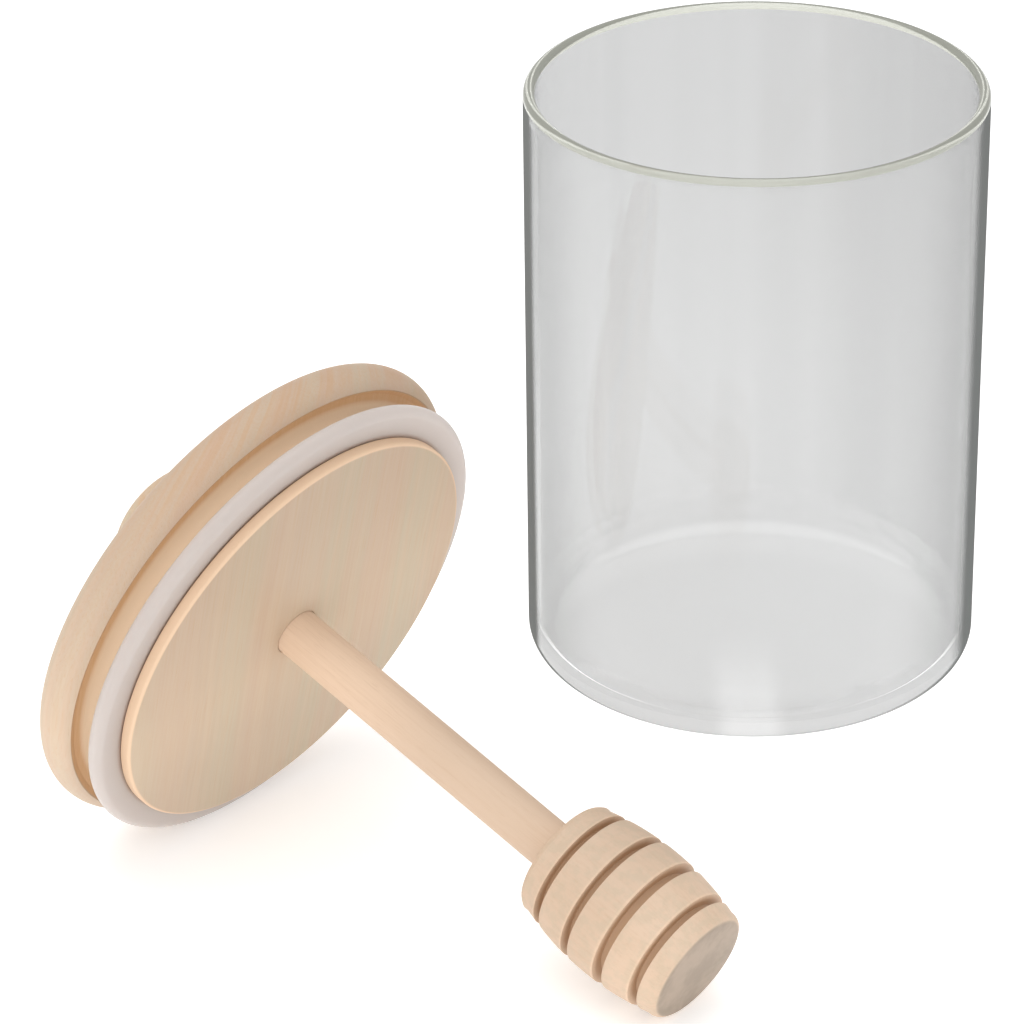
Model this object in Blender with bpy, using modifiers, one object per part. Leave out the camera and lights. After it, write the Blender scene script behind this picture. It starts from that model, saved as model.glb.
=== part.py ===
"""Honey pot: a clear glass jar that stands open, and beside it the turned wooden lid
with its seal ring, its knob and the dipper fixed in it, lying on the ring's edge and on
the dipper's head. All lengths below are in millimetres and are turned into metres once.
"""
from math import acos, atan2, cos, degrees, hypot, pi, radians, sin

import bmesh
import bpy
from mathutils import Matrix

MM = 0.001
GAP = 0.3                 # clearance between pieces that touch
BED = 0.2                 # depth of the small flats that the ring and dipper lie on

# Glass jar
JAR_R = 45.0
JAR_H = 120.6
JAR_WALL = 2.1
JAR_BASE = 3.0
JAR_CORNER = 5.0          # outside rounding of the base
JAR_CORNER_IN = 5.0       # inside rounding of the base
LIP_BEAD = 0.25           # how far the rounded lip is thickened inwards
LIP_DEPTH = 3.0

# Lid, measured along its axis from the plug's flat face towards the knob
PLUG_R = 42.4
PLUG_EDGE = 0.6           # rounding of the plug's front edge
PLUG_RIM = 2.3            # length of the plug's rim in front of the ring
RING_SEAT_R = 40.6
RING_SEAT_END = 5.9
FLANGE_R = 50.05
FLANGE_U = 13.65          # middle of the flange
FLANGE_HALF = 4.7         # half its thickness, and the radius of its round edge
FLANGE_TURN = -58.0       # where the round edge ends and the recess starts, in degrees
SOCKET_R = 4.95           # blind hole for the dipper's rod
SOCKET_DEPTH = 9.0

# Seal ring
RING_R = 48.0
RING_IN_R = RING_SEAT_R + GAP
RING_FRONT = PLUG_RIM + GAP
RING_BACK = RING_SEAT_END - GAP
RING_U = (RING_FRONT + RING_BACK) / 2.0
RING_HALF = (RING_BACK - RING_FRONT) / 2.0

# Knob on the lid's far side
KNOB_FOOT_R = 8.4
KNOB_R = 12.0
KNOB_TOP = 39.2

# Dipper, measured from the plug's flat face away from the lid
ROD_R = 4.67
HEAD_START = 68.5
HEAD_END = 102.1
GROOVE_DEPTH = 2.4
GROOVES = ((73.1, 74.7), (80.9, 82.6), (88.7, 90.8), (96.4, 98.2))
BARREL_R = 13.5           # largest radius of the head
BARREL_MID = 85.2         # where it is
BARREL_CURVE = 0.0091     # how fast the radius falls away from there
TIP_P = 100.7             # ridge at the head's end that touches the table
TIP_R = 11.5

# Where the lid's face lies from the jar's axis, and which way the dipper points
FACE_X = -88.36
FACE_Y = -74.77
DIPPER_HEADING = -41.56   # degrees from +X

# Block of table that cuts the small flats
TABLE_WIDTH = 400.0
TABLE_DEPTH = 50.0

JAR_STEPS = 72
LID_STEPS = 72
RING_STEPS = 64
DIPPER_STEPS = 40
KNOB_STEPS = 36


def clear_scene():
    """Remove every object that the file opens with."""
    for obj in list(bpy.data.objects):
        bpy.data.objects.remove(obj, do_unlink=True)


def new_collection(name):
    group = bpy.data.collections.new(name)
    bpy.context.scene.collection.children.link(group)
    return group


def make_material(name, color, roughness, transmission=0.0):
    """A Principled BSDF with one colour and roughness."""
    mat = bpy.data.materials.new(name)
    mat.use_nodes = True
    shader = mat.node_tree.nodes["Principled BSDF"]
    shader.inputs["Base Color"].default_value = (*color, 1.0)
    shader.inputs["Roughness"].default_value = roughness
    shader.inputs["Metallic"].default_value = 0.0
    shader.inputs["Transmission Weight"].default_value = transmission
    mat.diffuse_color = (*color, 1.0)
    return mat


def arc(centre, radius, start, end, count):
    """Points on a circular arc of (radius, height), angles in degrees from +X."""
    points = []
    for i in range(count + 1):
        turn = radians(start + (end - start) * i / count)
        points.append((centre[0] + radius * cos(turn), centre[1] + radius * sin(turn)))
    return points


def turned(name, profile, steps, material, group, closed=False):
    """Turn a profile of (radius, height) about Z into one solid."""
    bm = bmesh.new()
    verts = [bm.verts.new((r * MM, 0.0, z * MM)) for r, z in profile]
    for first, second in zip(verts, verts[1:]):
        bm.edges.new((first, second))
    if closed:
        bm.edges.new((verts[-1], verts[0]))
    mesh = bpy.data.meshes.new(name + "_profile")
    bm.to_mesh(mesh)
    bm.free()
    obj = bpy.data.objects.new(name, mesh)
    group.objects.link(obj)
    screw = obj.modifiers.new("turn", "SCREW")
    screw.axis = "Z"
    screw.angle = 2.0 * pi
    screw.steps = steps
    screw.render_steps = steps
    screw.use_merge_vertices = True
    screw.merge_threshold = 0.00002
    bpy.context.view_layer.update()
    graph = bpy.context.evaluated_depsgraph_get()
    solid = bpy.data.meshes.new_from_object(obj.evaluated_get(graph))
    obj.modifiers.clear()
    obj.data = solid
    solid.name = name
    bpy.data.meshes.remove(mesh)
    solid.materials.append(material)
    solid.shade_smooth()
    solid.set_sharp_from_angle(angle=radians(30.0))
    return obj


def jar_profile():
    """From the middle of the inside floor up, over the lip, down the outside."""
    inner = JAR_R - JAR_WALL
    bead = (JAR_R - inner + LIP_BEAD) / 2.0
    points = [(0.0, JAR_BASE)]
    points += arc((inner - JAR_CORNER_IN, JAR_BASE + JAR_CORNER_IN), JAR_CORNER_IN, -90, 0, 5)
    points += [(inner, JAR_H - LIP_DEPTH - 1.5)]
    points += arc((JAR_R - bead, JAR_H - bead), bead, 180, 0, 8)
    points += [(JAR_R, JAR_CORNER)]
    points += arc((JAR_R - JAR_CORNER, JAR_CORNER), JAR_CORNER, 0, -90, 6)[1:]
    points += [(0.0, 0.0)]
    return points


def lid_profile():
    """From the middle of the back, round the flange, to the floor of the socket."""
    back = FLANGE_U + FLANGE_HALF
    points = [(0.0, back)]
    points += arc((FLANGE_R - FLANGE_HALF, FLANGE_U), FLANGE_HALF, 90, FLANGE_TURN, 9)
    points += [(46.6, 10.2), (45.1, 10.2), (43.7, 9.5), (42.8, 8.2), (42.5, RING_SEAT_END)]
    points += [(RING_SEAT_R, RING_SEAT_END), (RING_SEAT_R, PLUG_RIM), (PLUG_R, PLUG_RIM)]
    points += arc((PLUG_R - PLUG_EDGE, PLUG_EDGE), PLUG_EDGE, 0, -90, 3)
    points += [(SOCKET_R, 0.0), (SOCKET_R, SOCKET_DEPTH), (0.0, SOCKET_DEPTH)]
    return points


def ring_profile():
    """Flat faces and a half round outer edge, from the back inner corner round it."""
    points = [(RING_IN_R, RING_BACK)]
    points += arc((RING_R - RING_HALF, RING_U), RING_HALF, 90, -90, 8)
    points += [(RING_IN_R, RING_FRONT)]
    return points


def knob_profile():
    """From the middle of its top, round the cap and the waist, to its foot."""
    foot = FLANGE_U + FLANGE_HALF + GAP
    points = [(0.0, KNOB_TOP), (5.5, KNOB_TOP - 0.2), (9.2, KNOB_TOP - 0.7)]
    points += [(10.7, KNOB_TOP - 1.3), (11.6, KNOB_TOP - 2.2), (KNOB_R, KNOB_TOP - 3.7)]
    points += [(11.8, 32.6), (10.8, 29.4), (9.2, 26.2), (8.0, 23.0), (7.8, 20.8)]
    points += [(KNOB_FOOT_R, foot), (0.0, foot)]
    return points


def barrel_radius(p):
    """Radius of the head's outer curve at a distance from the plug's face."""
    return BARREL_R - BARREL_CURVE * (p - BARREL_MID) ** 2


def dipper_profile():
    """From the rod's end in the lid, down the rod, over the grooved head."""
    rod_end = SOCKET_DEPTH - GAP
    points = [(0.0, rod_end), (ROD_R - 0.4, rod_end), (ROD_R, rod_end - 0.4)]
    points += [(ROD_R, -HEAD_START), (9.8, -HEAD_START), (10.9, -HEAD_START - 0.4)]
    points += [(11.6, -HEAD_START - 1.3)]
    start = HEAD_START + 1.3
    for near, far in GROOVES:
        middle = (start + near) / 2.0
        points.append((barrel_radius(middle), -middle))
        points.append((barrel_radius(near), -near))
        points.append((barrel_radius(near) - GROOVE_DEPTH, -near))
        points.append((barrel_radius(far) - GROOVE_DEPTH, -far))
        points.append((barrel_radius(far), -far))
        start = far
    points += [(TIP_R, -TIP_P), (11.2, -HEAD_END + 0.7), (10.6, -HEAD_END + 0.2)]
    points += [(9.9, -HEAD_END), (0.0, -HEAD_END)]
    return points


def lean_angle():
    """Lean of the axis when the ring's round edge and the tip's ridge are level."""
    across = RING_R - RING_HALF - TIP_R
    along = RING_U + TIP_P
    return acos(-RING_HALF / hypot(across, along)) - atan2(along, across)


def face_height(lean):
    """Height of the plug's face centre over the table."""
    return TIP_P * sin(lean) + TIP_R * cos(lean) - BED


def lie_flat(obj, cutter):
    """Cut the small flat that the piece lies on."""
    cut = obj.modifiers.new("flat", "BOOLEAN")
    cut.operation = "DIFFERENCE"
    cut.solver = "EXACT"
    cut.object = cutter


def main():
    clear_scene()
    parts = new_collection("honey_pot")
    cutters = new_collection("honey_pot_cutters")

    glass = make_material("clear_glass", (0.86, 0.88, 0.86), 0.03, 1.0)
    lid_wood = make_material("lid_wood", (0.68, 0.49, 0.33), 0.55)
    knob_wood = make_material("knob_wood", (0.70, 0.52, 0.36), 0.55)
    dipper_wood = make_material("dipper_wood", (0.75, 0.57, 0.41), 0.5)
    silicone = make_material("silicone", (0.72, 0.66, 0.64), 0.45)

    turned("jar", jar_profile(), JAR_STEPS, glass, parts)

    lean = lean_angle()
    lid_axis = bpy.data.objects.new("lid_axis", None)
    lid_axis.empty_display_size = 0.03
    parts.objects.link(lid_axis)
    lid_axis.location = (FACE_X * MM, FACE_Y * MM, face_height(lean) * MM)
    lid_axis.rotation_euler = (0.0, radians(90.0) - lean, radians(180.0 + DIPPER_HEADING))

    lid = turned("lid", lid_profile(), LID_STEPS, lid_wood, parts)
    ring = turned("seal_ring", ring_profile(), RING_STEPS, silicone, parts, closed=True)
    knob = turned("knob", knob_profile(), KNOB_STEPS, knob_wood, parts)
    dipper = turned("dipper", dipper_profile(), DIPPER_STEPS, dipper_wood, parts)
    for obj in (lid, ring, knob, dipper):
        obj.parent = lid_axis

    bpy.ops.mesh.primitive_cube_add(size=1.0)
    table = bpy.context.active_object
    table.name = "table_cutter"
    table.data.transform(Matrix.Diagonal((TABLE_WIDTH * MM, TABLE_WIDTH * MM, TABLE_DEPTH * MM, 1.0)))
    table.location = (FACE_X * MM, FACE_Y * MM, -TABLE_DEPTH * MM / 2.0)
    for holder in list(table.users_collection):
        holder.objects.unlink(table)
    cutters.objects.link(table)
    table.hide_render = True
    table.display_type = "WIRE"
    for obj in (ring, dipper):
        lie_flat(obj, table)

    bpy.context.view_layer.update()
    print("lean of the dipper's axis in degrees:", round(degrees(lean), 3))


main()
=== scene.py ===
from math import acos, atan2, cos, hypot, pi, radians, sin, tan

import bpy
from bpy.props import FloatProperty, FloatVectorProperty, IntProperty, PointerProperty
from bpy.types import Operator, Panel, PropertyGroup
from mathutils import Matrix, Vector


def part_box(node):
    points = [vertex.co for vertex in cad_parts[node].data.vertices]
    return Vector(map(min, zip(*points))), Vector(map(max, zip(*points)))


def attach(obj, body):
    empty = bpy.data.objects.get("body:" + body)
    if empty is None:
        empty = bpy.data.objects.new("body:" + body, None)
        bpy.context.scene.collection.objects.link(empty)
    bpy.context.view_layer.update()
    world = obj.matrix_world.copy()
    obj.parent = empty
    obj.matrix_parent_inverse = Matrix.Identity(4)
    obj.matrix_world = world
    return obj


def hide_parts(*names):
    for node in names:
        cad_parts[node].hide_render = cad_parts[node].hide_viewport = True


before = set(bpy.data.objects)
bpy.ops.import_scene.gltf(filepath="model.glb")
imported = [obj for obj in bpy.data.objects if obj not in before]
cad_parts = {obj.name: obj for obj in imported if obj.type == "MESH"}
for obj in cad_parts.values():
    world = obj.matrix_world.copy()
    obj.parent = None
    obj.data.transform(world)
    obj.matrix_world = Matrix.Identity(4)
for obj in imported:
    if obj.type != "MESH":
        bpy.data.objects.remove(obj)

bl_info = {
    "name": "Honey Pot with Dipper Lid",
    "version": (1, 0, 0),
    "blender": (4, 5, 0),
    "location": "View3D > Sidebar > Honey Pot",
    "description": "A glass honey jar and its turned wooden lid with seal ring, knob and dipper",
    "category": "Object",
}

MM = 0.001
BODY = "root"
GAP = 0.3                  # clearance between pieces that touch, mm
PLUG_RIM, SEAT_END = 2.3, 5.9                                       # ends of the ring's seat, mm
RING_RADIUS = 48.0         # outside radius of the seal ring, mm
LIP_GLASS = 1.35           # height of the lip that has its own finish, mm
LOOK_DOWN, LOOK_ASIDE = 0.585, 0.07                                 # slopes of the look at the base
PLAIN_BASE = (7.2, 11.5)   # heights over which the base's plain tint ends, mm
REFLECTION_X, REFLECTION_HALF = -2.0, (3.0, 8.5)                            # painted reflection: lighter column in the base, mm
FLANGE_FROM = (9.0, 9.8)   # where the flange's own tone starts, mm
KNOB_PAINTED_SHADE = (0.91, 0.91, 0.90)                                     # painted shade: how much darker the knob is made than the lid
FLOOR_SIZE, FLOOR_DROP = 8.0, 0.0004                                # and its gap under the jar, metres
CAMERA_AIM = (-0.04813, 0.05428, 0.0)                               # point it looks at, metres
CAMERA_PITCH, CAMERA_ROLL = radians(27.93), radians(-0.8)
FOCAL_PIXELS, FRAME_PIXELS = 4660.76, 1024.0                        # focal length, frame width
SENSOR_WIDTH = 36.0        # mm
WHITE, BLACK = (1.0, 1.0, 1.0), (0.0, 0.0, 0.0)
JAR_LOW, JAR_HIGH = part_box("jar")


def length(label, text, size_mm):
    """A length property whose default is given in millimetres."""
    return FloatProperty(
        name=label, description=text, default=size_mm * MM, min=0.0,
        precision=5, unit="LENGTH", subtype="DISTANCE",
    )


def colour(label, text, default):
    """A colour property in linear red, green and blue."""
    return FloatVectorProperty(
        name=label, description=text, default=default, min=0.0, max=1.0, size=3, subtype="COLOR",
    )


def amount(label, text, default, top=1.0):
    return FloatProperty(name=label, description=text, default=default, min=0.0, max=top)


def steps(label, default):
    return IntProperty(
        name=label, description="Number of facets round the piece", default=default, min=12, max=512,
    )


class JarSettings(PropertyGroup):
    """Sizes and finish of the glass jar."""
    radius: length("Radius", "Outside radius of the wall", (JAR_HIGH.x - JAR_LOW.x) / 2.0 / MM)
    height: length("Height", "Height of the lip", JAR_HIGH.z / MM)
    wall: length("Wall", "Thickness of the wall", 2.1)
    base: length("Base", "Thickness of the base", 3.0)
    corner: length("Base corner", "Outside rounding of the base", 5.0)
    corner_in: length("Inside corner", "Inside rounding of the base", 5.0)
    lip_bead: length("Lip bead", "How far the lip is thickened inwards", 0.25)
    lip_depth: length("Lip depth", "Height over which the lip is thickened", 3.0)
    facets: steps("Facets", 192)
    tint: colour("Glass tint", "What the far wall lets through", (0.32, 0.322, 0.322))
    near_tint: colour("Near tint", "What the near wall lets through", (0.90, 0.902, 0.90))
    # Painted shade: how dark the near wall is made where it is seen at a slant, towards the jar's
    # sides.
    slant_shade: colour("Slant tint", "What the near wall lets through at a slant", (0.23, 0.235, 0.23))
    base_tint: colour("Base tint", "What the base lets through", (0.615, 0.618, 0.618))
    lip_tint: colour("Lip tint", "Colour that gathers in the lip", (0.53, 0.54, 0.465))
    # Painted shade: colour of the dark layer where the wall is seen edge on.
    edge_shade: colour("Edge tint", "Colour of the wall seen edge on", (0.19, 0.197, 0.192))


class LidSettings(PropertyGroup):
    """Sizes and finish of the turned lid, from the plug's flat face towards the knob."""
    plug_radius: length("Plug radius", "Radius of the flat disc", 42.4)
    plug_edge: length("Plug edge", "Rounding of the disc's front edge", 0.6)
    plug_rim: length("Plug rim", "Length of the disc's rim in front of the ring", PLUG_RIM)
    seat_radius: length("Seat radius", "Radius of the seat under the seal ring", 40.6)
    seat_end: length("Seat end", "Where the seat ends", SEAT_END)
    flange_radius: length("Flange radius", "Radius of the flange", 50.05)
    flange_middle: length("Flange middle", "Where the middle of the flange is", 13.65)
    flange_half: length("Flange half", "Half the thickness of the flange", 4.7)
    socket_radius: length("Socket radius", "Radius of the blind hole for the rod", 4.72)
    socket_depth: length("Socket depth", "Depth of the blind hole", 9.0)
    facets: steps("Facets", 256)
    wood: colour("Wood", "Main colour of the board", (0.643, 0.507, 0.368))
    rosy: colour("Rosy grain", "Colour of the rosy bands", (0.624, 0.470, 0.345))
    grey: colour("Grey grain", "Colour of the greenish grey bands", (0.597, 0.498, 0.363))
    dark: colour("Dark grain", "Colour of the end grain", (0.60, 0.37, 0.20))
    amber: colour("Amber patches", "Colour of the warm patches of the flange", (0.60, 0.39, 0.23))
    # Painted light: the plug's rim is lighter, as where the light falls on its side.
    rim: colour("Plug rim", "Colour of the plug's rim", (0.83, 0.585, 0.395))
    # Painted shade and light in the recess: orange brown in the shade beside the flange, pale cream on
    # the slope beside the ring where the light falls.
    hollow: colour("Recess", "Colour of the recess beside the flange", (0.76, 0.45, 0.22))
    recess_light: colour("Recess slope", "Colour of the recess beside the ring", (0.95, 0.72, 0.50))


class RingSettings(PropertyGroup):
    """Sizes and finish of the seal ring."""
    radius: length("Radius", "Outside radius of the ring", RING_RADIUS)
    clearance: length("Clearance", "Gap between the ring and its seat", 0.12)
    facets: steps("Facets", 224)
    silicone: colour("Silicone", "Colour of the milky silicone", (0.535, 0.482, 0.452))
    # Partly the wood seen through the silicone, partly painted shade in the gap beside the plug.
    seam: colour("Seam", "Colour beside the plug, where the wood shines through", (0.48, 0.33, 0.25))


class KnobSettings(PropertyGroup):
    """Sizes of the knob on the lid's far side."""
    radius: length("Radius", "Largest radius of the cap", 12.0)
    foot_radius: length("Foot radius", "Radius where the knob stands on the lid", 8.4)
    top: length("Top", "Distance of the top from the plug's face", 39.2)
    facets: steps("Facets", 128)


class DipperSettings(PropertyGroup):
    """Sizes and finish of the dipper, from the plug's flat face away from the lid."""
    rod_radius: length("Rod radius", "Radius of the rod", 4.67)
    head_start: length("Head start", "Where the grooved head starts", 68.5)
    head_end: length("Head end", "Where the head ends", 102.1)
    head_radius: length("Head radius", "Largest radius of the head", 13.5)
    head_middle: length("Head middle", "Where the head is thickest", 85.2)
    groove_depth: length("Groove depth", "Depth of the grooves", 2.4)
    facets: steps("Facets", 144)
    wood: colour("Wood", "Colour of the dipper", (0.653, 0.490, 0.362))
    # Dark wood of the fibres and flecks, also used as painted shade in the grooves.
    dark: colour("Groove", "Colour in the grooves", (0.52, 0.33, 0.20))
    # End grain, darker than the side; part of its darkness is painted shade near the floor.
    end: colour("End grain", "Colour of the end face", (0.375, 0.302, 0.234))


class StudioSettings(PropertyGroup):
    """Floor, lights and camera."""
    floor: colour("Floor", "Colour of the floor", (0.99, 0.99, 0.99))
    sky: amount("Sky", "Brightness of the light from all round", 0.76, 10.0)
    top: amount("Top light", "Power of the light overhead in watts", 8.5, 1000.0)
    front: amount("Front light", "Power of the light near the camera in watts", 2.5, 1000.0)
    fill: amount("Fill light", "Power of the soft fill from the front in watts", 5.5, 1000.0)
    glow: amount("Floor glow", "How brightly the floor glows, as a light table does", 0.30)
    distance: length("Camera distance", "Distance from the camera to the point it looks at", 1000.0)


GROOVES = ((73.1, 74.7), (80.9, 82.6), (88.7, 90.8), (96.4, 98.2))   # start and end, mm
GROOVE_PITCH = 7.77        # distance from groove to groove, mm
HEAD_CURVE = 0.0091        # how fast the head's radius falls away from its middle
TIP_AT, TIP_RADIUS = 100.7, 11.5                                    # ridge that touches the table, mm
TABLE_FLAT = 0.2           # depth of the small flats that the ring and the dipper lie on, mm
FACE_X, FACE_Y = -88.36, -74.77                                     # middle of the plug's face, mm
HEADING = radians(-41.56)  # the way the dipper points, from +X
GRAIN_TURN = radians(13.0)  # how far the board's grain leans from upright
RECESS = ((45.1, 10.2), (43.7, 9.5), (42.8, 8.2))                   # outline: radius and place, mm
KNOB_WAIST = ((11.8, 32.6), (10.8, 29.4), (9.2, 26.2), (8.0, 23.0), (7.8, 20.8))    # the same


# Where the lid lies

def lean_angle():
    """Lean of the lid's axis when it rests on the ring's edge and the dipper's tip."""
    ring_half = (SEAT_END - PLUG_RIM - 2.0 * GAP) / 2.0
    ring_middle = (SEAT_END + PLUG_RIM) / 2.0
    across = RING_RADIUS - ring_half - TIP_RADIUS
    along = ring_middle + TIP_AT
    return acos(-ring_half / hypot(across, along)) - atan2(along, across)


def lid_placement():
    """Matrix of the lid's own frame: Z runs from the plug's face to the knob, X along the grain."""
    lean = lean_angle()
    out = Vector((cos(lean) * cos(HEADING), cos(lean) * sin(HEADING), -sin(lean)))
    upright = Vector((1.0, 0.0, 0.0)).cross(out).normalized()
    if upright.z < 0.0:
        upright = -upright
    grain = Matrix.Rotation(-GRAIN_TURN, 3, out) @ upright
    back = -out
    side = back.cross(grain)
    turn = Matrix((grain, side, back)).transposed().to_4x4()
    height = TIP_AT * sin(lean) + TIP_RADIUS * cos(lean) - TABLE_FLAT
    return Matrix.Translation(Vector((FACE_X, FACE_Y, height)) * MM) @ turn


LID_PLACE = lid_placement()


# Modelling

def rest_hands():
    """Leave edit mode and select nothing."""
    if bpy.context.object and bpy.context.object.mode != "OBJECT":
        bpy.ops.object.mode_set(mode="OBJECT")
    bpy.ops.object.select_all(action="DESELECT")


def arc(centre, radius, start, end, count):
    """Points on an arc of (radius, height), angles in degrees from outwards."""
    points = []
    for i in range(count + 1):
        turn = radians(start + (end - start) * i / count)
        points.append((centre[0] + radius * cos(turn), centre[1] + radius * sin(turn)))
    return points


def easy_curve(points, count):
    """A smooth run through the points, with count steps between each two."""
    ends = [points[0]] + list(points) + [points[-1]]
    run = [points[0]]
    for before, first, second, after in zip(ends, ends[1:], ends[2:], ends[3:]):
        for i in range(1, count + 1):
            t = i / count
            run.append(tuple(
                0.5 * (2.0 * b + (c - a) * t + (2.0 * a - 5.0 * b + 4.0 * c - d) * t * t
                       + (3.0 * b - a - 3.0 * c + d) * t * t * t)
                for a, b, c, d in zip(before, first, second, after)
            ))
    return run


def round_corners(points, corners, count=5):
    """Replace the named corners of a profile by arcs; corners maps an index to a radius."""
    rounded = []
    for i, point in enumerate(points):
        if i not in corners:
            rounded.append(point)
            continue
        here = Vector(point)
        first = (Vector(points[i - 1]) - here).normalized()
        second = (Vector(points[i + 1]) - here).normalized()
        half = first.angle(second) / 2.0
        away = corners[i] / sin(half)
        centre = here + (first + second).normalized() * away
        reach = corners[i] / tan(half)
        start, end = here + first * reach - centre, here + second * reach - centre
        swing = start.angle(end)
        if start.x * end.y - start.y * end.x < 0.0:
            swing = -swing
        for step in range(count + 1):
            turn = swing * step / count
            rounded.append((
                centre.x + start.x * cos(turn) - start.y * sin(turn),
                centre.y + start.x * sin(turn) + start.y * cos(turn),
            ))
    return rounded


def draw_profile(name, points):
    """Draw a profile of (radius, height) in metres point by point, from one corner of a plane."""
    rest_hands()
    bpy.ops.mesh.primitive_plane_add(size=0.01, enter_editmode=True, location=(0.0, 0.0, 0.0))
    bpy.context.object.name = name
    bpy.context.object.data.name = name
    bpy.ops.mesh.select_all(action="SELECT")
    bpy.ops.mesh.merge(type="CENTER")
    bpy.ops.transform.translate(value=(points[0][0], 0.0, points[0][1]))
    for before, point in zip(points, points[1:]):
        step = (point[0] - before[0], 0.0, point[1] - before[1])
        bpy.ops.mesh.extrude_vertices_move(TRANSFORM_OT_translate={"value": step})
    return bpy.context.object


def turn_profile(facets):
    """Spin the drawn profile round the Z axis and close its seam and its poles."""
    bpy.ops.mesh.select_all(action="SELECT")
    bpy.ops.mesh.spin(
        steps=facets, angle=2.0 * pi, center=(0.0, 0.0, 0.0), axis=(0.0, 0.0, 1.0),
        use_auto_merge=True,
    )
    bpy.ops.mesh.select_all(action="SELECT")
    bpy.ops.mesh.remove_doubles(threshold=0.000002)
    bpy.ops.mesh.select_all(action="SELECT")
    bpy.ops.mesh.normals_make_consistent(inside=False)


def cut_table_flat():
    """Cut off what lies below the table, and close the small flat."""
    bpy.ops.mesh.select_all(action="SELECT")
    bpy.ops.mesh.bisect(
        plane_co=(0.0, 0.0, 0.0), plane_no=(0.0, 0.0, 1.0), use_fill=True, clear_inner=True,
        threshold=0.0000001,
    )
    bpy.ops.mesh.select_all(action="SELECT")
    bpy.ops.mesh.normals_make_consistent(inside=False)


def apply_place(piece, placement):
    """Put the piece's place into its mesh."""
    rest_hands()
    piece.matrix_world = placement
    piece.select_set(True)
    bpy.context.view_layer.objects.active = piece
    bpy.ops.object.transform_apply(location=True, rotation=True, scale=True)


def finish_piece(piece, node, material, smooth=30.0):
    """Smooth the piece, give it its finish, and let it stand for its CAD node."""
    rest_hands()
    piece.select_set(True)
    bpy.context.view_layer.objects.active = piece
    bpy.ops.object.shade_smooth_by_angle(angle=radians(smooth))
    piece.data.materials.clear()
    piece.data.materials.append(material)
    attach(piece, BODY)
    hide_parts(node)
    rest_hands()


# Profiles

def in_metres(points):
    return [(r * MM, z * MM) for r, z in points]


def jar_profile(jar):
    """From the middle of the inside floor, over the lip, to the middle of the underside."""
    inner = jar.radius - jar.wall
    bead = (jar.wall + jar.lip_bead) / 2.0
    points = [(0.0, jar.base)]
    points += arc((inner - jar.corner_in, jar.base + jar.corner_in), jar.corner_in, -90, 0, 18)
    points += easy_curve([
        (inner, jar.height - jar.lip_depth - 1.5 * MM),
        (inner - 0.1 * jar.lip_bead, jar.height - jar.lip_depth),
        (inner - 0.8 * jar.lip_bead, jar.height - 0.62 * jar.lip_depth),
    ], 4)
    points += arc((jar.radius - bead, jar.height - bead), bead, 180, 0, 20)
    points += arc((jar.radius - jar.corner, jar.corner), jar.corner, 0, -90, 20)
    points += [(0.0, 0.0)]
    return points


def lid_profile(lid):
    """From the middle of the back, round the flange, to the floor of the socket."""
    half, middle = lid.flange_half / MM, lid.flange_middle / MM
    radius, seat_end = lid.flange_radius / MM, lid.seat_end / MM
    plug, rim, seat = lid.plug_radius / MM, lid.plug_rim / MM, lid.seat_radius / MM
    socket, depth = lid.socket_radius / MM, lid.socket_depth / MM
    edge = lid.plug_edge / MM
    points = [(0.0, middle + half)]
    points += arc((radius - half, middle), half, 90, -58, 36)
    lip = [points[-1], (46.6, 10.2), RECESS[0]]
    points = points[:-1] + round_corners(lip + [(44.5, 9.9)], {1: 0.35}, 4)[:-1]
    points += easy_curve([*RECESS, (42.5, seat_end)], 6)[1:]
    points += [(seat, seat_end), (seat, rim)]
    points += arc((plug - 0.25, rim - 0.25), 0.25, 90, 0, 4)
    points += arc((plug - edge, edge), edge, 0, -90, 8)
    points += arc((socket + 0.25, 0.25), 0.25, -90, -180, 4)
    points += [(socket, depth), (0.0, depth)]
    return in_metres(points)


def ring_profile(ring, lid):
    """A closed profile with nearly flat faces and a half round outer edge."""
    inner = (lid.seat_radius + ring.clearance) / MM
    front = (lid.plug_rim + ring.clearance) / MM
    back = (lid.seat_end - ring.clearance) / MM
    half, middle, radius = (back - front) / 2.0, (back + front) / 2.0, ring.radius / MM
    points = arc((inner + 0.3, back - 0.3), 0.3, 180, 90, 4)
    points += arc((radius - half, middle), half, 90, -90, 24)
    points += arc((inner + 0.3, front + 0.3), 0.3, -90, -180, 4)
    return in_metres(points + points[:1])


def knob_profile(knob, lid):
    """From the middle of its top, round the cap and the waist, to its foot."""
    foot = (lid.flange_middle + lid.flange_half) / MM + GAP
    top, radius, foot_radius = knob.top / MM, knob.radius / MM, knob.foot_radius / MM
    points = easy_curve([
        (0.0, top), (5.5, top - 0.2), (9.2, top - 0.7), (10.7, top - 1.3), (11.6, top - 2.2),
        (radius, top - 3.7), *KNOB_WAIST, (foot_radius, foot),
    ], 6)
    return in_metres(points + [(0.0, foot)])


def head_radius(dipper, at):
    """Radius of the head's outer curve, all in mm."""
    return dipper.head_radius / MM - HEAD_CURVE * (at - dipper.head_middle / MM) ** 2


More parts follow.
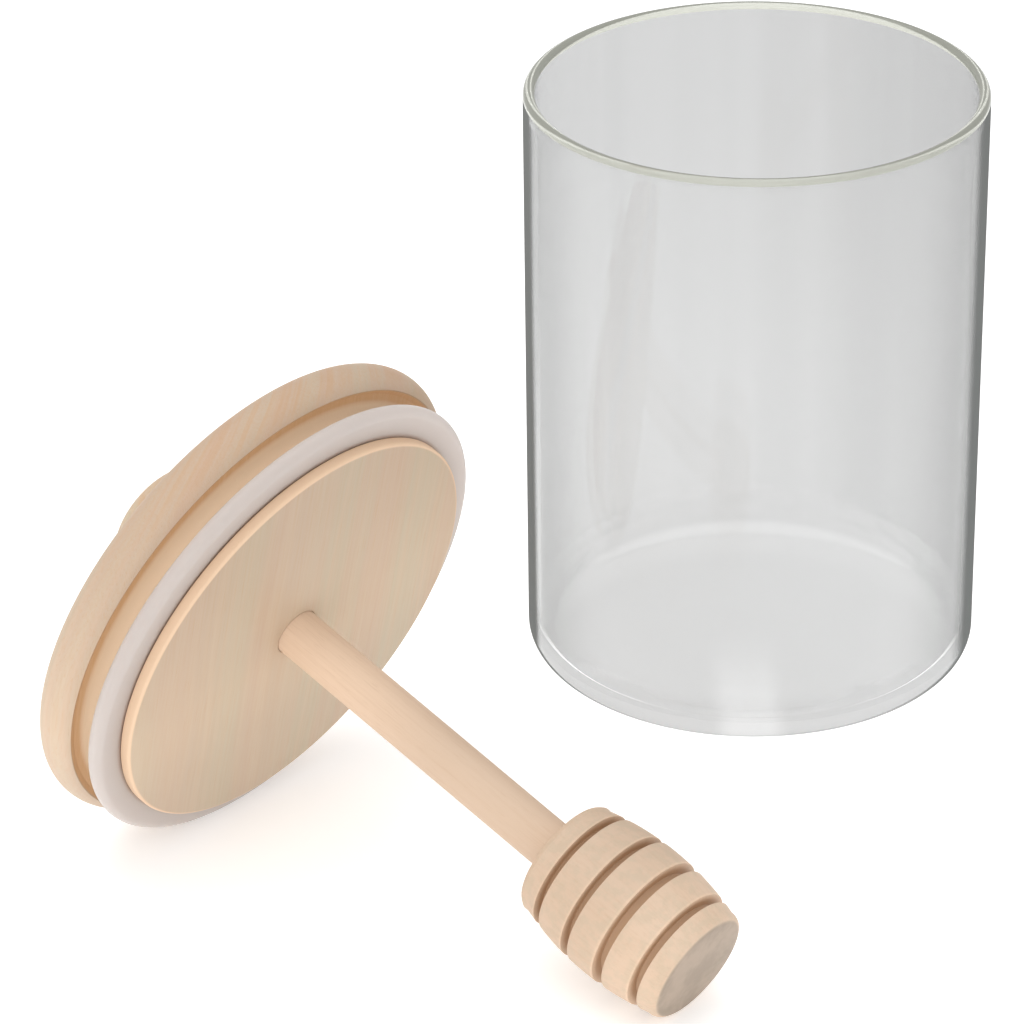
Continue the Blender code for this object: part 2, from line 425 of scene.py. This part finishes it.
def dipper_profile(dipper, lid):
    """From the rod's end in the lid, down the rod, over the grooved head."""
    rod, depth = dipper.rod_radius / MM, dipper.groove_depth / MM
    start, end = dipper.head_start / MM, dipper.head_end / MM
    rod_end = lid.socket_depth / MM - GAP
    points = [(0.0, rod_end), (rod - 0.4, rod_end), (rod, rod_end - 0.4)]
    points += [(rod, -at) for at in (0.0, 17.0, 34.0, 51.0)]
    points += arc((rod + 0.5, -start + 0.5), 0.5, 180, 270, 4)
    points += easy_curve([(9.8, -start), (10.9, -start - 0.4), (11.6, -start - 1.3)], 5)
    at = start + 1.3
    soft, nook = 0.13, 0.2     # roundings of a ridge's edge and of a groove's floor
    for near, far in GROOVES:
        for i in range(1, 6):
            here = at + (near - soft - at) * i / 5.0
            points.append((head_radius(dipper, here), -here))
        edge = head_radius(dipper, near)
        points += arc((edge - soft, -near + soft), soft, 0, -90, 4)[1:]
        points += arc((edge - depth + nook, -near - nook), nook, 90, 180, 3)
        edge = head_radius(dipper, far)
        points += arc((edge - depth + nook, -far + nook), nook, 180, 270, 3)
        points += arc((edge - soft, -far - soft), soft, 90, 0, 4)
        at = far + soft
    points += [(head_radius(dipper, 99.0), -99.0), (head_radius(dipper, 99.9), -99.9)]
    points += easy_curve([
        (TIP_RADIUS, -TIP_AT), (11.2, -end + 0.7), (10.6, -end + 0.2), (9.9, -end),
    ], 5)
    points += [(0.0, -end)]
    return in_metres(points)


# Finishes

def shade(tone, factor):
    """A colour times a factor, or times one factor for each channel."""
    factors = factor if isinstance(factor, tuple) else (factor, factor, factor)
    return tuple(c * f for c, f in zip(tone, factors))


class Wire:
    """A node's output. Python's operators on it add Math nodes."""

    def __init__(self, bench, socket):
        self.bench = bench
        self.socket = socket

    def math(self, operation, *terms):
        return self.bench.node("Math", {"operation": operation}, dict(enumerate(terms)))

    def __add__(self, other):
        return self.math("ADD", self, other)

    __radd__ = __add__

    def __sub__(self, other):
        return self.math("SUBTRACT", self, other)

    def __rsub__(self, other):
        return self.math("SUBTRACT", other, self)

    def __mul__(self, other):
        return self.math("MULTIPLY", self, other)

    __rmul__ = __mul__

    def __truediv__(self, other):
        return self.math("DIVIDE", self, other)

    def __pow__(self, other):
        return self.math("POWER", self, other)

    def __abs__(self):
        return self.math("ABSOLUTE", self)

    def at_least(self, other):
        return self.math("MAXIMUM", self, other)


class Finish:
    """A material being made, and the one method that adds its nodes."""

    def __init__(self, name):
        self.material = bpy.data.materials.new(name)
        self.material.use_nodes = True
        self.tree = self.material.node_tree
        self.shader = self.tree.nodes["Principled BSDF"]
        self.face = Wire(self, self.shader.outputs[0])

    def node(self, kind, settings=None, inputs=None, output=0):
        """Add a node of a type, with its settings first and then its sockets' values or links."""
        new = self.tree.nodes.new("ShaderNode" + kind)
        for name, value in (settings or {}).items():
            setattr(new, name, value)
        for name, value in (inputs or {}).items():
            self.feed(new.inputs[name], value)
        return Wire(self, new.outputs[output])

    def cover(self, share, other):
        """Let another shader take a share of the surface."""
        self.face = self.node("MixShader", None, {0: share, 1: self.face, 2: other})
        self.feed(self.tree.nodes["Material Output"].inputs["Surface"], self.face)

    def feed(self, socket, value):
        if isinstance(value, Wire):
            self.tree.links.new(value.socket, socket)
        else:
            socket.default_value = value

    def surface(self, **sockets):
        """Set the shader's sockets; a word's underscores stand for spaces."""
        for name, value in sockets.items():
            self.feed(self.shader.inputs[name.replace("_", " ")], value)

    def mix(self, share, first, second, way="MIX"):
        """Mix two colours."""
        ends = [
            value if isinstance(value, Wire) else (*value, 1.0) if len(value) == 3 else value
            for value in (first, second)
        ]
        return self.node(
            "Mix", {"data_type": "RGBA", "blend_type": way}, {0: share, 6: ends[0], 7: ends[1]}, 2,
        )

    def step(self, value, low, high):
        """A smooth step from 0 at low to 1 at high."""
        return self.node(
            "MapRange", {"interpolation_type": "SMOOTHSTEP"},
            {"Value": value, "From Min": low, "From Max": high, "To Min": 0.0, "To Max": 1.0},
        )

    def noise(self, place, detail=3.0, rough=0.5):
        return self.node("TexNoise", None, {
            "Vector": place, "Scale": 1.0, "Detail": detail, "Roughness": rough,
        })

    def streak_noise(self, value, detail=3.0, rough=0.5):
        """Noise along one number."""
        return self.node(
            "TexNoise", {"noise_dimensions": "1D"},
            {"W": value, "Scale": 1.0, "Detail": detail, "Roughness": rough},
        )

    def stretch(self, place, x, y, z):
        return self.node("VectorMath", {"operation": "MULTIPLY"}, {0: place, 1: (x, y, z)})

    def apart(self, place):
        """The three numbers of a vector."""
        split = self.tree.nodes.new("ShaderNodeSeparateXYZ")
        self.feed(split.inputs[0], place)
        return [Wire(self, socket) for socket in split.outputs]

    def place_in_mm(self, placement=None):
        """The surface's place in millimetres, in the row frame or in a piece's own frame."""
        spot = self.node("TexCoord", None, None, 3)
        matrix = placement or Matrix.Identity(4)
        return self.node("Mapping", {"vector_type": "TEXTURE"}, {
            "Vector": spot, "Location": matrix.to_translation(),
            "Rotation": matrix.to_euler(), "Scale": (MM, MM, MM),
        })

    def bump(self, height, strength, distance):
        return self.node("Bump", None, {
            "Strength": strength, "Distance": distance, "Height": height,
        })


def glass_finish(jar):
    """Clear glass: a soft grey to look through, painted shade where seen edge on and at a slant, and
    plain at the base with a painted reflection.
    """
    glass = Finish("clear_glass")
    place = glass.place_in_mm()
    x, y, z = glass.apart(place)
    away = (x * x + y * y) ** 0.5
    inner, wall = (jar.radius - jar.wall) / MM, jar.wall / MM
    base, corner = jar.base / MM, jar.corner_in / MM
    inside = 1.0 - glass.step(away, inner + 0.2, inner + 0.6)
    inside = inside * glass.step(z, base - 1.0, base - 0.3)
    outside = 1.0 - inside
    ray = {name: glass.node("LightPath", output=name) for name in
           ("Is Shadow Ray", "Is Diffuse Ray", "Diffuse Depth")}
    seen = 1.0 - glass.step(ray["Diffuse Depth"], 0.2, 0.8)
    entering = (1.0 - glass.node("NewGeometry", output="Backfacing")) * seen
    facing = glass.node("LayerWeight", None, {"Blend": 0.5}, "Facing")

    streaks = glass.noise(glass.stretch(place, 0.09, 0.09, 0.0), 3.0, 0.55)
    far = glass.mix(glass.step(streaks, 0.3, 0.7), shade(jar.tint, 0.92), jar.tint)
    # Painted shade: the far wall is made darker towards the right side (+X). It also darkens towards
    # the top.
    far = glass.mix(glass.step(x, 5.0, 44.0) * 0.25, far, BLACK)
    far = glass.mix(glass.step(z, 15.0, 110.0) * 0.17, far, BLACK)
    # Painted shade: the near wall darkens where it is seen at a slant.
    near = glass.mix(glass.step(facing, 0.30, 0.72), jar.near_tint, jar.slant_shade)
    body = glass.mix(entering * inside, WHITE, far)
    body = glass.mix(entering * outside, body, near)
    glass.surface(Base_Color=body, Roughness=0.015, IOR=1.47, Transmission_Weight=1.0,
                  Specular_Tint=(0.5, 0.5, 0.5, 1.0))

    low = 1.0 - glass.step(z, *PLAIN_BASE)
    bend = entering * inside * glass.step(z, base + 2.0, base + 2.7)
    bend = bend * (1.0 - glass.step(z, base + 3.1, base + 3.8))
    # A look that enters the outer wall below reach meets the solid base, and above it the hollow
    slope = LOOK_DOWN * away / abs(y + LOOK_ASIDE * x).at_least(12.0)
    reach = slope * (wall + corner) + base + corner - (slope * slope + 1.0) ** 0.5 * corner
    floor = inside + outside * (1.0 - glass.step(z - reach, -0.04, 0.16))
    # Painted reflection: a lighter column in the front half of the base.
    glow = (1.0 - glass.step(abs(x - REFLECTION_X), *REFLECTION_HALF)) * glass.step(-1.0 * y, 0.0, 46.0)
    tone = glass.mix(glow, jar.base_tint, shade(jar.base_tint, 1.20))
    # Painted shade: darker over the inside corner above the floor. The outer surface is a little darker
    # too.
    tone = glass.mix(inside * glass.step(z, base + 0.1, base + 1.2), tone,
                     shade(jar.base_tint, 0.88))
    tone = glass.mix(outside * 0.07, tone, BLACK)
    tone = glass.mix(entering * floor, WHITE, tone)
    plain = low * 0.92 * (1.0 - bend * 0.35)
    glass.cover(plain, glass.node("BsdfTransparent", None, {"Color": tone}))

    # Painted shade: a dark diffuse layer where the outer wall is seen edge on, wider on the right and
    # weaker along the bottom.
    turned = glass.apart(glass.node("TexCoord", output="Normal"))
    right = glass.step(turned[0], -0.4, 0.8)
    edge = glass.step(facing, 0.72 - right * 0.09, 0.80)
    edge = edge * (1.0 - glass.step(-1.0 * turned[2], 0.35, 0.85) * 0.75)
    glass.cover(edge * entering * outside,
                glass.node("BsdfDiffuse", None, {"Color": (*jar.edge_shade, 1.0)}))

    unseen = ray["Is Shadow Ray"].at_least(ray["Is Diffuse Ray"])
    glass.cover(unseen, glass.node("BsdfTransparent", None, {"Color": (0.97, 0.97, 0.97, 1.0)}))
    return glass.material


def lip_finish(jar):
    """The fire polished lip, where a pale yellow green gathers."""
    lip = Finish("lip_glass")
    place = lip.place_in_mm()
    clouds = lip.noise(lip.stretch(place, 0.05, 0.05, 0.4), 2.0, 0.5)
    tone = lip.mix(clouds, jar.lip_tint, shade(jar.lip_tint, 0.95))
    lip.surface(Base_Color=tone, Roughness=0.08, IOR=1.47, Transmission_Weight=0.45)
    return lip.material


def board_grain(wood, placement, seed=0.0):
    """Bands, fibres and pores of a board whose grain runs along X of the piece's frame."""
    place = wood.place_in_mm(placement)
    sway = wood.noise(wood.stretch(place, 0.010, 0.025, 0.025), 2.0, 0.5)
    across = wood.node("VectorMath", {"operation": "MULTIPLY_ADD"}, {
        0: place, 1: (0.0, 1.0, 1.0), 2: (0.0, 46.0 + seed, -78.0),
    })
    rings = wood.node("VectorMath", {"operation": "LENGTH"}, {0: across}, 1)
    rings = rings + sway * 5.0
    bands = wood.streak_noise(rings * 0.13, 2.0, 0.6)
    lines = wood.streak_noise(rings * 0.75 + 31.0, 2.0, 0.6)
    fibres = wood.noise(wood.stretch(place, 0.035, 1.9, 1.9), 3.0, 0.6)
    pores = wood.noise(wood.stretch(place, 0.11, 4.2, 4.2), 1.0, 0.5)
    return place, bands, lines, fibres, wood.step(pores, 0.60, 0.72)


def board_finish(name, lid, recess, seed=0.0):
    """Pale sanded wood with bands, fibres and end grain; on the lid a warm rim lightened with painted
    light, and a recess with painted shade and light.
    """
    wood = Finish(name)
    place, bands, lines, fibres, pores = board_grain(wood, LID_PLACE, seed)
    tone = wood.mix(wood.step(bands, 0.36, 0.62), lid.grey, lid.rosy)
    tone = wood.mix(wood.step(lines, 0.35, 0.75) * 0.75, tone, lid.wood)
    tone = wood.mix(wood.step(fibres, 0.35, 0.75) * 0.20, tone, lid.dark)
    tone = wood.mix(pores * 0.28, tone, lid.dark)
    facing = wood.node("TexCoord", None, None, 1)
    grain = LID_PLACE.to_3x3().col[0]
    end_on = abs(wood.node("VectorMath", {"operation": "DOT_PRODUCT"}, {0: facing, 1: grain}, 1))
    patches = wood.step(lines * 0.5 + bands * 0.5, 0.42, 0.62)
    tone = wood.mix(wood.step(end_on, 0.45, 0.95) * patches * 0.45, tone, lid.dark)
    x, y, z = wood.apart(place)
    away = (x * x + y * y) ** 0.5
    warm = wood.step(wood.noise(wood.stretch(place, 0.035, 0.075, 0.075), 3.0, 0.6), 0.44, 0.58)
    flange = wood.step(z, *FLANGE_FROM)
    tone = wood.mix(flange, tone, (1.07, 1.05, 1.06), "MULTIPLY")
    right = wood.step(wood.apart(wood.place_in_mm())[0], -105.0, -60.0)
    tone = wood.mix(warm * flange * (right * 0.28 + 0.03), tone, lid.amber)
    if not recess:
        # Painted shade: the knob is made darker than the lid.
        tone = wood.mix(1.0, tone, KNOB_PAINTED_SHADE, "MULTIPLY")
    else:
        # Painted shade: the lid is darker towards its upper end along the grain. The next line also
        # makes it a little darker towards its lower end.
        tone = wood.mix(wood.step(x, -15.0, 40.0), tone, (0.82, 0.80, 0.80), "MULTIPLY")
        tone = wood.mix(wood.step(-1.0 * x, 0.0, 30.0), tone, (0.91, 0.92, 0.94), "MULTIPLY")
        # Painted light: the plug's rim is made lighter and warmer, as where the light falls on its
        # side.
        rim = wood.step(away, lid.plug_radius / MM - 0.7, lid.plug_radius / MM - 0.3)
        rim = rim * (1.0 - wood.step(z, lid.plug_rim / MM, lid.plug_rim / MM + 0.2))
        tone = wood.mix(rim * 0.85, tone, lid.rim)
        # Painted shade and light in the recess: orange brown beside the flange where it lies in shade,
        # pale cream on the slope where the light falls.
        deep = (1.0 - wood.step(away, 47.4, 47.9)) * wood.step(z, SEAT_END - 0.5, SEAT_END)
        deep = deep * (1.0 - wood.step(z, 10.4, 10.8))
        floor = wood.step(away, 44.2, 45.6)
        recess_shade_and_light = wood.mix(floor * (fibres * 0.5 + 0.7), lid.recess_light, lid.hollow)
        tone = wood.mix(deep * 0.85, tone, recess_shade_and_light)
    relief = fibres * 0.6 - pores * 0.5 + lines * 0.15
    wood.surface(
        Base_Color=tone, Roughness=fibres * 0.12 + 0.50, Specular_IOR_Level=0.35,
        Normal=wood.bump(relief, 0.25, 0.00012),
    )
    return wood.material


def dipper_finish(dipper):
    """Smooth pale wood along the rod, painted shade in the grooves, dull brown on the end face."""
    wood = Finish("dipper_wood")
    place = wood.place_in_mm(LID_PLACE)
    x, y, z = wood.apart(place)
    away = (x * x + y * y) ** 0.5
    at = -1.0 * z
    fibres = wood.noise(wood.stretch(place, 1.6, 1.6, 0.03), 3.0, 0.6)
    flecks = wood.noise(wood.stretch(place, 3.6, 3.6, 0.25), 1.0, 0.5)
    clouds = wood.noise(wood.stretch(place, 0.07, 0.07, 0.02), 2.0, 0.5)
    mottle = wood.noise(wood.stretch(place, 0.40, 0.40, 0.40), 4.0, 0.65)
    blotches = wood.noise(wood.stretch(place, 0.13, 0.13, 0.13), 3.0, 0.6)
    tone = wood.mix(wood.step(clouds, 0.35, 0.65) * 0.5, dipper.wood,
                    shade(dipper.wood, (0.97, 0.93, 0.89)))
    # Painted light: the rod is made lighter near the lid, where the lid shades it.
    tone = wood.mix(1.0 - wood.step(at, 12.0, 42.0), tone, shade(dipper.wood, 1.235))
    head = wood.step(at, 66.0, 70.0)
    tone = wood.mix(head, tone, (0.965, 0.965, 0.965), "MULTIPLY")
    tone = wood.mix(wood.step(at, 82.0, 97.0), tone, (1.11, 1.11, 1.11), "MULTIPLY")
    tone = wood.mix(wood.step(mottle, 0.42, 0.62) * head * 0.55, tone, (0.87, 0.93, 0.92), "MULTIPLY")
    # Painted highlight: thin lighter lines at the edges of the head's grooves.
    past = at - GROOVES[0][0]
    ridge = 1.0 - wood.step(past.math("PINGPONG", past, GROOVE_PITCH / 2.0), 0.15, 0.55)
    tone = wood.mix(ridge * head, tone, (1.12, 1.10, 1.08), "MULTIPLY")
    tone = wood.mix(wood.step(fibres, 0.4, 0.8) * 0.16, tone, dipper.dark)
    tone = wood.mix(wood.step(flecks, 0.58, 0.70) * 0.14, tone, dipper.dark)
    off = at - dipper.head_middle / MM
    skin = dipper.head_radius / MM - off * off * HEAD_CURVE
    # Painted shade in the grooves.
    deep = wood.step(skin - away, 0.30, 1.7) * wood.step(at, 71.5, 72.5)
    deep = deep * (1.0 - wood.step(at, 98.6, 99.2))
    tone = wood.mix(deep * 0.85, tone, dipper.dark)
    # The end face: darker end grain, partly painted shade near the floor.
    end_face = wood.step(at, dipper.head_end / MM - 0.35, dipper.head_end / MM - 0.05)
    end_tone = wood.mix(wood.step(blotches, 0.38, 0.62), shade(dipper.end, 0.86),
                        shade(dipper.end, (1.10, 1.08, 1.10)))
    tone = wood.mix(end_face * 0.9, tone, end_tone)
    turning = wood.streak_noise(at * 1.7, 2.0, 0.6)
    relief = fibres * 0.5 + turning * 0.5
    wood.surface(
        Base_Color=tone, Roughness=fibres * 0.1 + 0.48, Specular_IOR_Level=0.35,
        Normal=wood.bump(relief, 0.18, 0.0001),
    )
    return wood.material


def silicone_finish(ring):
    """Milky translucent silicone."""
    silicone = Finish("milky_silicone")
    place = silicone.place_in_mm(LID_PLACE)
    clouds = silicone.noise(silicone.stretch(place, 0.12, 0.12, 0.12), 2.0, 0.5)
    tone = silicone.mix(clouds, ring.silicone, shade(ring.silicone, 0.97))
    x, y = silicone.apart(place)[:2]
    away = (x * x + y * y) ** 0.5
    # Painted light: the ring is made lighter towards its +X end.
    along = silicone.apart(silicone.place_in_mm())[0]
    tone = silicone.mix(silicone.step(along, -78.0, -56.0), tone, (1.14, 1.14, 1.14), "MULTIPLY")
    # Partly the wood seen through the silicone, partly painted shade in the gap beside the plug.
    tone = silicone.mix((1.0 - silicone.step(away, 42.2, 43.2)) * 0.75, tone, ring.seam)
    fine = silicone.noise(silicone.stretch(place, 3.0, 3.0, 3.0), 2.0, 0.5)
    silicone.surface(
        Base_Color=tone, Roughness=clouds * 0.08 + 0.40, IOR=1.41, Specular_IOR_Level=0.4,
        Subsurface_Weight=0.9, Subsurface_Radius=(1.0, 0.97, 0.95), Subsurface_Scale=0.005,
        Normal=silicone.bump(fine, 0.05, 0.0001),
    )
    return silicone.material


def floor_finish(studio):
    """Plain matt floor that glows a little."""
    paint = Finish("pale_floor")
    paint.surface(Base_Color=(*studio.floor, 1.0), Roughness=0.9, Specular_IOR_Level=0.1,
                  Emission_Color=(*WHITE, 1.0), Emission_Strength=studio.glow)
    return paint.material


# Operators

class BuildJar(Operator):
    """Turn the clear glass jar with its rounded base corner and lip"""
    bl_idname = "honey_pot.jar"
    bl_label = "Glass jar"

    def execute(self, context):
        jar = context.scene.honey_jar
        piece = draw_profile("glass_jar", jar_profile(jar))
        turn_profile(jar.facets)
        finish_piece(piece, "jar", glass_finish(jar))
        piece.data.materials.append(lip_finish(jar))
        for face in piece.data.polygons:
            if face.center.z > jar.height - LIP_GLASS * MM:
                face.material_index = 1
        return {"FINISHED"}


class BuildLid(Operator):
    """Turn the wooden lid with its plug, ring seat and round flange"""
    bl_idname = "honey_pot.lid"
    bl_label = "Wooden lid"

    def execute(self, context):
        lid = context.scene.honey_lid
        piece = draw_profile("wooden_lid", lid_profile(lid))
        turn_profile(lid.facets)
        apply_place(piece, LID_PLACE)
        finish_piece(piece, "lid", board_finish("lid_wood", lid, True))
        return {"FINISHED"}


class BuildRing(Operator):
    """Turn the milky seal ring round the plug"""
    bl_idname = "honey_pot.seal_ring"
    bl_label = "Seal ring"

    def execute(self, context):
        ring, lid = context.scene.honey_ring, context.scene.honey_lid
        piece = draw_profile("silicone_ring", ring_profile(ring, lid))
        turn_profile(ring.facets)
        apply_place(piece, LID_PLACE)
        bpy.ops.object.mode_set(mode="EDIT")
        cut_table_flat()
        finish_piece(piece, "seal_ring", silicone_finish(ring), 40.0)
        return {"FINISHED"}


class BuildKnob(Operator):
    """Turn the knob on the lid's far side"""
    bl_idname = "honey_pot.knob"
    bl_label = "Knob"

    def execute(self, context):
        knob, lid = context.scene.honey_knob, context.scene.honey_lid
        piece = draw_profile("turned_knob", knob_profile(knob, lid))
        turn_profile(knob.facets)
        apply_place(piece, LID_PLACE)
        finish_piece(piece, "knob", board_finish("knob_wood", lid, False, 9.0))
        return {"FINISHED"}


class BuildDipper(Operator):
    """Turn the dipper with its plain rod and grooved head"""
    bl_idname = "honey_pot.dipper"
    bl_label = "Dipper"

    def execute(self, context):
        dipper, lid = context.scene.honey_dipper, context.scene.honey_lid
        piece = draw_profile("honey_dipper", dipper_profile(dipper, lid))
        turn_profile(dipper.facets)
        apply_place(piece, LID_PLACE)
        bpy.ops.object.mode_set(mode="EDIT")
        cut_table_flat()
        finish_piece(piece, "dipper", dipper_finish(dipper))
        return {"FINISHED"}


def add_softbox(name, place, aim, size, power, shape="RECTANGLE"):
    """A soft lamp at a place, turned towards a point."""
    place, aim = Vector(place), Vector(aim)
    turn = (aim - place).to_track_quat("-Z", "Y").to_euler()
    bpy.ops.object.light_add(type="AREA", location=place, rotation=turn)
    lamp = bpy.context.object
    lamp.name = name
    lamp.data.shape = shape
    lamp.data.size, lamp.data.size_y = size
    lamp.data.energy = power
    return lamp


def camera_matrix(studio):
    """Where the camera stands: nearly 28 degrees above the table, rolled by less than one."""
    target, pitch, roll = Vector(CAMERA_AIM), CAMERA_PITCH, CAMERA_ROLL
    ahead = Vector((0.0, cos(pitch), -sin(pitch)))
    right, up = Vector((1.0, 0.0, 0.0)), Vector((0.0, sin(pitch), cos(pitch)))
    turned_right = right * cos(roll) + up * sin(roll)
    turned_up = up * cos(roll) - right * sin(roll)
    turn = Matrix((turned_right, turned_up, -ahead)).transposed().to_4x4()
    return Matrix.Translation(target - ahead * studio.distance) @ turn


class BuildStudio(Operator):
    """Lay the floor and set the lights and the camera"""
    bl_idname = "honey_pot.studio"
    bl_label = "Studio"

    def execute(self, context):
        studio = context.scene.honey_studio
        rest_hands()
        bpy.ops.mesh.primitive_plane_add(size=FLOOR_SIZE, location=(0.0, 0.0, -FLOOR_DROP))
        floor = context.object
        floor.name = "floor"
        floor.data.materials.append(floor_finish(studio))

        middle = (-0.045, -0.03, 0.05)
        add_softbox("top_softbox", (-0.25, 0.10, 1.5), middle, (1.6, 1.6), studio.top)
        front = add_softbox("front_softbox", (-0.09, -1.30, 0.72), (0.0, 0.0, 0.03),
                            (1.00, 0.50), studio.front)
        front.visible_camera = front.visible_diffuse = False

        fill = add_softbox("front_fill", (-0.55, -1.30, 0.55), middle, (1.40, 1.40), studio.fill)
        fill.visible_camera = fill.visible_glossy = fill.visible_transmission = False

        world = bpy.data.worlds.new("studio_air")
        world.use_nodes = True
        air = world.node_tree.nodes["Background"]
        air.inputs["Color"].default_value = (*WHITE, 1.0)
        air.inputs["Strength"].default_value = studio.sky
        context.scene.world = world

        bpy.ops.object.camera_add()
        camera = context.object
        camera.name = "camera"
        camera.matrix_world = camera_matrix(studio)
        camera.data.sensor_fit = "HORIZONTAL"
        camera.data.sensor_width = SENSOR_WIDTH
        camera.data.lens = FOCAL_PIXELS * SENSOR_WIDTH / FRAME_PIXELS
        camera.data.clip_start, camera.data.clip_end = 0.01, 50.0
        context.scene.camera = camera
        context.scene.view_settings.view_transform = "Standard"
        context.scene.view_settings.look = "None"
        light_paths = context.scene.cycles
        light_paths.max_bounces = light_paths.transmission_bounces = 11
        light_paths.glossy_bounces, light_paths.diffuse_bounces = 6, 3
        rest_hands()
        return {"FINISHED"}


BUILDERS = (BuildJar, BuildLid, BuildRing, BuildKnob, BuildDipper, BuildStudio)


class HoneyPotPanel(Panel):
    """Lists the pieces of the honey pot"""
    bl_idname = "VIEW3D_PT_honey_pot"
    bl_label = "Honey Pot"
    bl_space_type = "VIEW_3D"
    bl_region_type = "UI"
    bl_category = "Honey Pot"

    def draw(self, context):
        for builder in BUILDERS:
            self.layout.operator(builder.bl_idname, text=builder.bl_label)


SETTINGS = (
    (JarSettings, "honey_jar"), (LidSettings, "honey_lid"), (RingSettings, "honey_ring"),
    (KnobSettings, "honey_knob"), (DipperSettings, "honey_dipper"),
    (StudioSettings, "honey_studio"),
)


def register():
    for group, name in SETTINGS:
        bpy.utils.register_class(group)
        setattr(bpy.types.Scene, name, PointerProperty(type=group))
    for cls in (*BUILDERS, HoneyPotPanel):
        bpy.utils.register_class(cls)


def unregister():
    for cls in (HoneyPotPanel, *reversed(BUILDERS)):
        bpy.utils.unregister_class(cls)
    for group, name in reversed(SETTINGS):
        delattr(bpy.types.Scene, name)
        bpy.utils.unregister_class(group)


def corners(box):
    return [list(corner) for corner in box]


def main():
    """Build the pieces in order."""
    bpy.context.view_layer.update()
    register()
    for build in (
        bpy.ops.honey_pot.jar, bpy.ops.honey_pot.lid, bpy.ops.honey_pot.seal_ring,
        bpy.ops.honey_pot.knob, bpy.ops.honey_pot.dipper, bpy.ops.honey_pot.studio,
    ):
        if build() != {"FINISHED"}:
            raise RuntimeError(f"{build} didn't finish")


if __name__ == "__main__":
    main()
